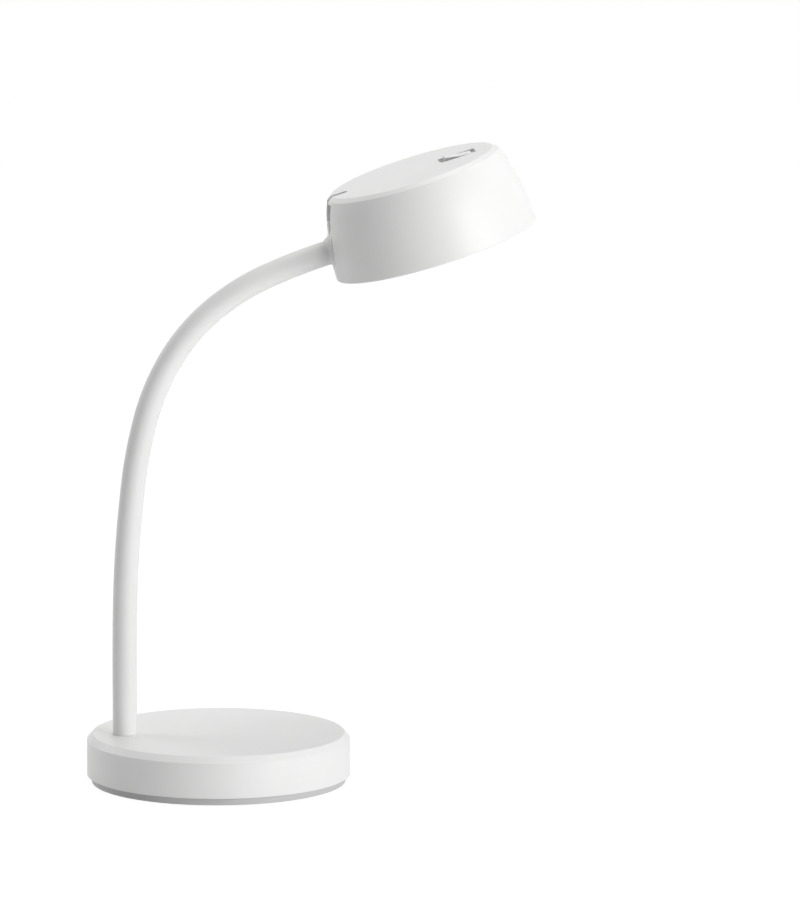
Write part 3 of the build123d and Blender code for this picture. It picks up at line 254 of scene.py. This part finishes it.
grain_inputs = {"Grain": 1800.0, "Drift": 14.0}
moulded_grain, entry, result = effect("moulded_grain", grain_inputs, ("Height", "Tone"))
place = add(moulded_grain, "ShaderNodeTexCoord")
fine = add(moulded_grain, "ShaderNodeTexNoise", {"Detail": 3.0, "Roughness": 0.6})
slow = add(moulded_grain, "ShaderNodeTexNoise", {"Detail": 2.0, "Roughness": 0.5})
join(
    moulded_grain,
    (place, "Object", fine, "Vector"),
    (place, "Object", slow, "Vector"),
    (entry, "Grain", fine, "Scale"),
    (entry, "Drift", slow, "Scale"),
    (fine, "Fac", result, "Height"),
    (slow, "Fac", result, "Tone"),
)
print("effect", moulded_grain.name, "with", list(grain_inputs))

# %% [markdown]
# Drawn or ground steel has fine lines along one direction. Stretching a noise pattern does that:
# the Mapping node squeezes the coordinates a lot along the line's own direction, so that each
# speck turns into a streak.

# %% Drawn lines
drawn_lines, entry, result = effect("drawn_lines", {"Lines": 900.0}, ("Height", "Tone"))
place = add(drawn_lines, "ShaderNodeTexCoord")
stretch = add(drawn_lines, "ShaderNodeMapping", {"Scale": (1.0, 0.04, 1.0)})
streaks = add(drawn_lines, "ShaderNodeTexNoise", {"Detail": 2.0, "Roughness": 0.7})
smudges = add(drawn_lines, "ShaderNodeTexNoise", {"Scale": 60.0, "Detail": 3.0})
join(
    drawn_lines,
    (place, "Object", stretch, "Vector"),
    (stretch, "Vector", streaks, "Vector"),
    (place, "Object", smudges, "Vector"),
    (entry, "Lines", streaks, "Scale"),
    (streaks, "Fac", result, "Height"),
    (smudges, "Fac", result, "Tone"),
)
print("effect", drawn_lines.name, "with", len(drawn_lines.nodes), "nodes")

# %% [markdown]
# A circuit board shows its copper tracks as slightly raised, lighter bands under the lacquer. A
# brick pattern gives straight bands with gaps, and its mask serves both the colour and the
# height.

# %% Board tracks
board_tracks, entry, result = effect("board_tracks", {"Rows": 420.0}, ("Tracks", "Tone"))
place = add(board_tracks, "ShaderNodeTexCoord")
turn = add(board_tracks, "ShaderNodeMapping", {"Rotation": (0.0, 0.0, radians(60))})
bricks = add(
    board_tracks,
    "ShaderNodeTexBrick",
    {"Mortar Size": 0.012, "Mortar Smooth": 0.1, "Brick Width": 3.2, "Row Height": 0.55},
)
speckle = add(board_tracks, "ShaderNodeTexNoise", {"Scale": 300.0, "Detail": 2.0})
join(
    board_tracks,
    (place, "Object", turn, "Vector"),
    (turn, "Vector", bricks, "Vector"),
    (entry, "Rows", bricks, "Scale"),
    (place, "Object", speckle, "Vector"),
    (bricks, "Fac", result, "Tracks"),
    (speckle, "Fac", result, "Tone"),
)
print("effects", [group.name for group in bpy.data.node_groups])


# %% [markdown]
# ## The finishes
#
# Every finish is made the same way: an effect drives a small colour change, a small roughness
# change and a bump. What differs between plastic, rubber and steel is the size of each, and the
# plain settings on the shader. The roughness and colour differences are small, because the lamp
# in the picture is new and clean.


# %% A recipe for finishes
first_colour, second_colour, mixed_colour = 6, 7, 2  # the Mix node's colour sockets, by number
mask_range = {"From Min": 0.3, "From Max": 0.7}  # noise seldom leaves this range
finishes = {}


def finish(name, group, colours, roughness, bump, group_values=None, mask="Tone", **plain):
    """Make a finish whose colour and roughness run between two values by an effect's mask.

    The bump is how many metres the effect's height stands for. Plain values go to the shader's
    own sockets.
    """
    material = bpy.data.materials.new(name)
    material.use_nodes = True
    tree = material.node_tree
    shader = tree.nodes["Principled BSDF"]
    worked = add(tree, "ShaderNodeGroup", node_tree=group)
    for label, value in (group_values or {}).items():
        worked.inputs[label].default_value = value
    ends = {first_colour: (*colours[0], 1), second_colour: (*colours[1], 1)}
    tint = add(tree, "ShaderNodeMix", ends, data_type="RGBA")
    spread = add(tree, "ShaderNodeMapRange", mask_range)
    rough = add(tree, "ShaderNodeMapRange", {"To Min": roughness[0], "To Max": roughness[1]})
    relief = add(tree, "ShaderNodeBump", {"Strength": 1.0, "Distance": bump})
    height = "Height" if "Height" in worked.outputs else "Tracks"
    join(
        tree,
        (worked, mask, spread, "Value"),
        (spread, "Result", tint, "Factor"),
        (tint, mixed_colour, shader, "Base Color"),
        (spread, "Result", rough, "Value"),
        (rough, "Result", shader, "Roughness"),
        (worked, height, relief, "Height"),
        (relief, "Normal", shader, "Normal"),
    )
    for label, value in plain.items():
        shader.inputs[label.replace("_", " ")].default_value = value
    finishes[name] = material


def grey(level, warmth=0.0):
    """A neutral colour, with the blue held back a little for warmth."""
    return (level, level * (1 - warmth / 3), level * (1 - warmth))


# %% [markdown]
# White ABS covers the base, the neck, the head and the switch. It is satin, not glossy: the
# softbox shows only as a slow ramp. The silicone sleeve is a touch duller and a touch darker, and
# its grain is finer.

# %% Outer finishes
white_abs = ((grey(0.80, 0.012), grey(0.835, 0.006)), (0.40, 0.48), 0.000012)
finish("white_plastic", moulded_grain, *white_abs)
dull_finishes = (  # name, two colours, roughness, bump, grain and drift
    ("grey_plastic", (grey(0.54), grey(0.58)), (0.45, 0.55), 0.000015, 1400.0, 14.0),
    ("sleeve_rubber", (grey(0.78, 0.01), grey(0.81, 0.006)), (0.52, 0.62), 0.00001, 2600.0, 30.0),
    ("pad_rubber", (grey(0.045), grey(0.075)), (0.75, 0.92), 0.00006, 700.0, 40.0),
)
for name, colours, roughness, bump, grain, drift in dull_finishes:
    finish(name, moulded_grain, colours, roughness, bump, {"Grain": grain, "Drift": drift})
print("outer finishes", list(finishes))

# %% [markdown]
# In the picture a dark line runs along the near side of the switch, under a bright top. That line
# is painted shade: the rocker's side faces are painted grey to stand in for the shade in the
# switch's well, and its top stays white. The two are told apart by where the surface faces in the
# piece's own frame, which stays with the rocker when it tips.

# %% The rocker's white top and painted side shade
top_facing = (-0.2974, 0.0, 0.9548)  # out of the head's top face
top_limit = 0.85  # a face is on the top when its normal's share along that is more than this
# painted shade: the grey that the rocker's side faces take, in place of the shade in the switch's
# well
painted_side_shade = (*grey(0.46), 1)
finish("rocker_plastic", moulded_grain, *white_abs)
tree = finishes["rocker_plastic"].node_tree
shader = tree.nodes["Principled BSDF"]
white_top = shader.inputs["Base Color"].links[0].from_node
own_frame = add(tree, "ShaderNodeTexCoord")
facing = add(tree, "ShaderNodeVectorMath", {1: top_facing}, operation="DOT_PRODUCT")
is_top = add(tree, "ShaderNodeMath", {1: top_limit}, operation="GREATER_THAN")
# the side faces take the painted shade, and the top keeps the white
side_shade_mix = add(tree, "ShaderNodeMix", {first_colour: painted_side_shade}, data_type="RGBA")
join(
    tree,
    (own_frame, "Normal", facing, 0),
    (facing, "Value", is_top, 0),
    (is_top, 0, side_shade_mix, "Factor"),
    (white_top, mixed_colour, side_shade_mix, second_colour),
    (side_shade_mix, mixed_colour, shader, "Base Color"),
)
print("the rocker's plastics", len(tree.nodes), "nodes")

# %% [markdown]
# Bright metals need a metallic value of one, and their colour is the colour of the reflection.
# Plated steel has drawn lines, and aluminium sheet is brighter and softer. Cast iron is rough and
# blotchy, and its skin is partly oxide, so it is less metallic.

# %% Metals
metal_finishes = (  # name, two colours, roughness, bump and lines
    ("steel", (grey(0.56), grey(0.64)), (0.26, 0.38), 0.000006, 1200.0),
    ("core_steel", (grey(0.48), grey(0.57)), (0.30, 0.44), 0.000010, 1500.0),
    ("aluminium", (grey(0.76), grey(0.81)), (0.34, 0.46), 0.000006, 700.0),
    ("brass", ((0.72, 0.55, 0.26), (0.80, 0.63, 0.33)), (0.25, 0.36), 0.000005, 900.0),
)
for name, colours, roughness, bump, lines in metal_finishes:
    finish(name, drawn_lines, colours, roughness, bump, {"Lines": lines}, Metallic=1.0)

iron_greys = (grey(0.13), grey(0.21))
iron_grain = {"Grain": 420.0, "Drift": 70.0}
finish("weight_iron", moulded_grain, iron_greys, (0.62, 0.82), 0.00018, iron_grain, Metallic=0.6)
print("finishes with the metals", len(finishes))

# %% [markdown]
# The inside has circuit boards, lead jackets, nylon and black mouldings. The boards show their
# tracks, and the white board of the light ring keeps its tracks faint under a thick lacquer.

# %% Inside finishes
board_finishes = (  # name, two colours, roughness, bump and rows
    ("board", ((0.02, 0.16, 0.07), (0.05, 0.27, 0.12)), (0.28, 0.36), 0.00004, 420.0),
    ("white_board", (grey(0.80), grey(0.86)), (0.30, 0.40), 0.00003, 800.0),
)
for name, colours, roughness, bump, rows in board_finishes:
    finish(name, board_tracks, colours, roughness, bump, {"Rows": rows}, mask="Tracks")

inside_finishes = (  # name, two colours, roughness, bump and grain
    ("nylon", (grey(0.76, 0.09), grey(0.82, 0.06)), (0.38, 0.50), 0.00001, 1800.0),
    ("black_plastic", (grey(0.018), grey(0.032)), (0.35, 0.50), 0.00002, 2400.0),
    ("lead_jacket", (grey(0.02), grey(0.04)), (0.45, 0.60), 0.00001, 3000.0),
    ("wire_jacket", ((0.50, 0.03, 0.02), (0.62, 0.05, 0.035)), (0.40, 0.52), 0.00001, 1800.0),
    ("led_yellow", ((0.85, 0.72, 0.22), (0.92, 0.80, 0.34)), (0.30, 0.40), 0.00001, 1800.0),
)
for name, colours, roughness, bump, grain in inside_finishes:
    finish(name, moulded_grain, colours, roughness, bump, {"Grain": grain})
print("finishes so far", len(finishes))

# %% [markdown]
# In the head's pan lie three flat layers: a white film reflects, a clear acrylic disc carries the
# light sideways, and an opal sheet hides the disc. Opal plastic lets light creep under its skin,
# so it has some subsurface scattering.

# %% Light unit finishes
finish("white_film", moulded_grain, (grey(0.86), grey(0.89)), (0.25, 0.32), 0.000004)
finish(
    "opal_plastic",
    moulded_grain,
    (grey(0.82, 0.02), grey(0.85, 0.01)),
    (0.42, 0.50),
    0.000008,
    {"Grain": 3200.0},
    Subsurface_Weight=0.25,
    Subsurface_Scale=0.002,
)
finish(
    "clear_plastic",
    moulded_grain,
    ((0.93, 0.96, 0.97), (0.96, 0.98, 0.98)),
    (0.04, 0.09),
    0.000003,
    Transmission_Weight=0.95,
    IOR=1.49,
)
print("finishes in all", len(finishes))

# %% [markdown]
# Now each node of the lamp gets its finish. The record names one material slot for each, and a
# finish has the same name as its slot.

# %% Dress the nodes
subparts = frame["record"]["subparts"]
for subpart in subparts:
    for material_slot in nodes[subpart["node"]].material_slots:
        material_slot.material = finishes[subpart["material_slot"]]
print("dressed", len(subparts), "pieces with", len(finishes), "finishes")

# %% [markdown]
# ## The arm's centreline
#
# The arm is nine stretches of equal length. Each leans forward by its own angle, so each is an
# arc of a circle, and the joints lie between them. Every soft piece on the arm follows this one
# line.

# %% Centreline
arm_root = (-0.04635, 0.0245)  # x and z where the arm leaves the base
arm_length = 0.285
arm_turns = (0.0, 1.2, 3.0, 2.9, 8.3, 15.8, 19.2, 15.9, 6.4)  # degrees, from the base up
stretch_length = arm_length / len(arm_turns)


def arm_at(distance):
    """Place (x, z) and heading, by length along the arm from the base's top."""
    x, z = arm_root
    heading = pi / 2
    if distance <= 0:
        return x, z + distance, heading
    left = distance
    for turn in arm_turns:
        step = min(left, stretch_length)
        bend = radians(turn) * step / stretch_length
        chord = step * sin(bend / 2) / (bend / 2) if bend else step
        x += chord * cos(heading - bend / 2)
        z += chord * sin(heading - bend / 2)
        heading -= bend
        left -= step
    return x + left * cos(heading), z + left * sin(heading), heading


def arm_point(distance):
    """The centreline's place, as a vector."""
    x, z, _ = arm_at(distance)
    return Vector((x, 0, z))


print("arm's end", [round(value, 4) for value in arm_at(arm_length)])

# %% [markdown]
# ## The soft sleeve
#
# The real sleeve is one silicone tube. A rigid tube would stay behind when the arm bends, so it is
# cut where nothing bends, in the middle of each stretch, and each length spans its own joint.
#
# A length starts as a circle across the arm. Spin carries that circle round the centre of each
# arc, as a lathe would, and a straight run is an extrude. Solidify then gives the wall its
# thickness, inwards.


# %% Tube along the arm
same_place = 1e-6  # metres: places nearer than this count as one
no_turn = 1e-9  # radians: a run that turns less than this is straight


def marks_between(start, end):
    """The arm's joints between two distances, with both ends."""
    joints = [stretch_length * number for number in range(len(arm_turns) + 1)]
    inner = [mark for mark in joints if start + same_place < mark < end - same_place]
    return [start, *inner, end]


def arm_tube(name, start, end, radius, sides, step_length):
    """An open tube round the arm's centreline: a circle spun or extruded along each stretch."""
    x, z, heading = arm_at(start)
    bpy.ops.object.select_all(action="DESELECT")
    bpy.ops.mesh.primitive_circle_add(
        vertices=sides, radius=radius, location=(x, 0, z), rotation=(0, pi / 2 - heading, 0)
    )
    tube = bpy.context.object
    tube.name = name
    bpy.ops.object.transform_apply(location=True, rotation=True, scale=True)
    bpy.ops.object.mode_set(mode="EDIT")
    bpy.ops.mesh.select_all(action="SELECT")
    marks = marks_between(start, end)
    for low, high in zip(marks, marks[1:]):
        steps = max(1, round((high - low) / step_length))
        turn = arm_at(low)[2] - arm_at(high)[2]
        if turn < no_turn:
            move = (arm_point(high) - arm_point(low)) / steps
            for _ in range(steps):
                bpy.ops.mesh.extrude_region_move(TRANSFORM_OT_translate={"value": move})
        else:
            x, z, heading = arm_at(low)
            bend_radius = (high - low) / turn
            centre = (x + bend_radius * sin(heading), 0, z - bend_radius * cos(heading))
            bpy.ops.mesh.spin(steps=steps, angle=-turn, center=centre, axis=(0, 1, 0))
    bpy.ops.mesh.select_all(action="SELECT")
    bpy.ops.mesh.remove_doubles(threshold=same_place)
    bpy.ops.mesh.normals_make_consistent(inside=False)
    bpy.ops.object.mode_set(mode="OBJECT")
    return tube


# %% [markdown]
# A trial tube shows whether the spins add up: its far ring has to lie one radius round the
# centreline's point.


# %% Smooth shading and a trial
corner_angle = radians(35)


def smooth(piece):
    """Round shading, with true corners kept."""
    bpy.ops.object.select_all(action="DESELECT")
    piece.select_set(True)
    bpy.context.view_layer.objects.active = piece
    bpy.ops.object.shade_smooth_by_angle(angle=corner_angle)


trial_start, trial_end, trial_radius = 0.02, 0.28, 0.006
trial = arm_tube("trial", trial_start, trial_end, trial_radius, sides=16, step_length=0.003)
far_distance = min((v.co - arm_point(trial_end)).length for v in trial.data.vertices)
print("the trial tube's far ring lies", round(far_distance * 1000, 3), "mm round the line")
bpy.data.objects.remove(trial)

# %% [markdown]
# The lengths are cut at the middles of the stretches. The first one stands in the base and rides
# on it, and the last one goes into the neck's collar and rides on the neck. For each of the eight
# between, the centreline's points a little inside its ends are found, and its place is baked into
# its mesh.

# %% Sleeve lengths
sleeve_radius = 0.006
sleeve_wall = 0.001
sleeve_sides, sleeve_step = 64, 0.0011
sleeve_sunk = 0.0022  # its lower end stands this deep in the base's top
sleeve_in_collar = 0.00305
blend_margin = 0.0018
middles = [stretch_length * (number + 0.5) for number in range(len(arm_turns))]
cuts = [-sleeve_sunk, *middles, arm_length + sleeve_in_collar]
lengths = list(enumerate(zip(cuts, cuts[1:])))  # each with its number, start and end
last_number = lengths[-1][0]


def dress(piece, number, material_slot, replaced):
    """Finish one length, ride number 0 on the base and the last on the neck, and bake the others'
    places.
    """
    piece.data.materials.append(finishes[material_slot])
    if number in (0, last_number):
        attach(piece, "base" if number == 0 else "neck")
    else:
        low = arm_point(cuts[number] + blend_margin)
        high = arm_point(cuts[number + 1] - blend_margin)
        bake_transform(piece)
    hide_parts(replaced)


for number, (low, high) in lengths:
    length = arm_tube(f"sleeve_{number}", low, high, sleeve_radius, sleeve_sides, sleeve_step)
    wall = length.modifiers.new("wall", "SOLIDIFY")
    wall.thickness = sleeve_wall
    wall.offset = -1.0
    bpy.ops.object.modifier_apply(modifier=wall.name)
    smooth(length)
    dress(length, number, "sleeve_rubber", "arm_sleeve")
print("sleeve lengths", len(lengths))

# %% [markdown]
# ## The lead in the arm
#
# The lead runs inside the core, from the small board in the base to the driver in the head. It is
# never seen at rest, but a stiff one would poke out of a bent arm, so its lengths in the arm are
# made like the sleeve's.

# %% Lead lengths in the arm
lead_radius = 0.0015
lead_sides, lead_step = 20, 0.0024
for number, (low, high) in lengths[1:-1]:
    length = arm_tube(f"lead_{number}", low, high, lead_radius, lead_sides, lead_step)
    bpy.ops.object.mode_set(mode="EDIT")
    bpy.ops.mesh.select_mode(type="EDGE")
    bpy.ops.mesh.select_all(action="DESELECT")
    bpy.ops.mesh.select_non_manifold(extend=False)
    bpy.ops.mesh.edge_face_add()
    bpy.ops.object.mode_set(mode="OBJECT")
    smooth(length)
    dress(length, number, "lead_jacket", "lamp_lead")
print("lead lengths in the arm", len(lengths[1:-1]))

# %% [markdown]
# The lead's two ends turn corners, so each is a smooth curve with a round bevel instead. The
# points are the lead's own, with two more beside the sharp corner under the arm, which keep the
# curve close to it.


# %% Lead in the base
def lead_end(name, points):
    """A round lead along a smooth curve, made a mesh."""
    curve = bpy.data.curves.new(name, "CURVE")
    curve.dimensions = "3D"
    curve.bevel_depth = lead_radius
    curve.bevel_resolution = 3
    curve.use_fill_caps = True
    line = curve.splines.new("NURBS")
    line.points.add(len(points) - 1)
    for knot, point in zip(line.points, points):
        knot.co = (*point, 1)
    line.order_u = 3
    line.use_endpoint_u = True
    line.resolution_u = 8
    lead = bpy.data.objects.new(name, curve)
    bpy.context.scene.collection.objects.link(lead)
    bpy.ops.object.select_all(action="DESELECT")
    lead.select_set(True)
    bpy.context.view_layer.objects.active = lead
    bpy.ops.object.convert(target="MESH")
    smooth(lead)
    lead.data.materials.append(finishes["lead_jacket"])
    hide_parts("lamp_lead")
    return lead


lead_plug_place = Vector((-0.03876, 0.01314, 0.0072))
lead_corner = Vector((-0.04635, 0, 0.0072))
corner_ease = 0.003  # the extra points stand this far from the corner
mouth_reach = 0.006  # points this far below and above the base's top keep the lead straight there
toward_plug = (lead_plug_place - lead_corner).normalized()
base_points = [
    lead_plug_place,
    lead_corner + toward_plug * corner_ease,
    lead_corner + Vector((0, 0, corner_ease)),
    arm_point(-mouth_reach),
    arm_point(mouth_reach),
    arm_point(middles[0]),
]
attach(lead_end("lead_0", base_points), "base")
print("lead in the base", len(base_points), "points")

# %% [markdown]
# In the head, the lead passes over the hinge pin, between the neck and the head. Its points are
# told along the head and down from its top face, because the head leans forward with the arm's
# end.

# %% Lead over the hinge pin
head_origin = Vector((0.0957031, 0, 0.302607))  # the middle of the head's top face
end_heading = arm_at(arm_length)[2]
forward = Vector((cos(end_heading), 0, sin(end_heading)))
upward = Vector((-sin(end_heading), 0, cos(end_heading)))


def head_point(along, depth):
    """A place in the head's middle plane, measured from the middle of its top face."""
    return head_origin + forward * along - upward * depth


neck_mark = 0.277  # a place on the arm's last stretch
over_pin = (  # along and down, from the neck to the driver
    (-0.0366, 0.0260),
    (-0.0318, 0.0214),
    (-0.0220, 0.0214),
    (-0.0146, 0.0274),
    (-0.0050, 0.0274),
)
head_points = [arm_point(distance) for distance in (middles[-1], neck_mark, arm_length)]
head_points += [head_point(along, depth) for along, depth in over_pin]
head_lead = lead_end(f"lead_{last_number}", head_points)
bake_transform(head_lead)
print("lead in the head", len(head_points), "points")

# %% [markdown]
# ## The inlet's contacts
#
# The receptacle's tongue carries a row of plated contacts on each face, and they take the brass
# finish. One contact is a cube scaled to a strip, with its edges bevelled. An Array modifier lays
# out the row, and a Mirror makes the row underneath.

# %% Inlet contacts
inlet_angle = radians(150)  # where the inlet stands round the base, from +X
tongue_middle_radius = 0.0620
tongue_level = 0.01203
tongue_half_thickness = 0.00035
contact_size = (0.0034, 0.00025, 0.00004)  # along the plug's way in, across, thick
contact_edge = contact_size[2] / 4
contact_count, contact_pitch = 12, 0.0005

bpy.ops.object.select_all(action="DESELECT")
bpy.ops.mesh.primitive_cube_add(size=1.0)
contacts = bpy.context.object
contacts.name = "inlet_contacts"
contacts.scale = contact_size
contacts.location = (
    tongue_middle_radius,
    -contact_pitch * (contact_count - 1) / 2,
    tongue_half_thickness + contact_size[2] / 2,
)
bpy.ops.object.transform_apply(location=True, rotation=True, scale=True)
edges = contacts.modifiers.new("edges", "BEVEL")
edges.width = contact_edge
row = contacts.modifiers.new("row", "ARRAY")
row.count = contact_count
row.use_relative_offset = False
row.use_constant_offset = True
row.constant_offset_displace = (0, contact_pitch, 0)
below = contacts.modifiers.new("below", "MIRROR")
below.use_axis = (False, False, True)
for modifier in (edges, row, below):
    bpy.ops.object.modifier_apply(modifier=modifier.name)
contacts.rotation_euler = (0, 0, inlet_angle)
contacts.location = (0, 0, tongue_level)
bpy.ops.object.transform_apply(location=True, rotation=True, scale=True)
contacts.data.materials.append(finishes["brass"])
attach(contacts, "base")
print("contacts", contact_count * 2, "strips,", len(contacts.data.polygons), "faces")
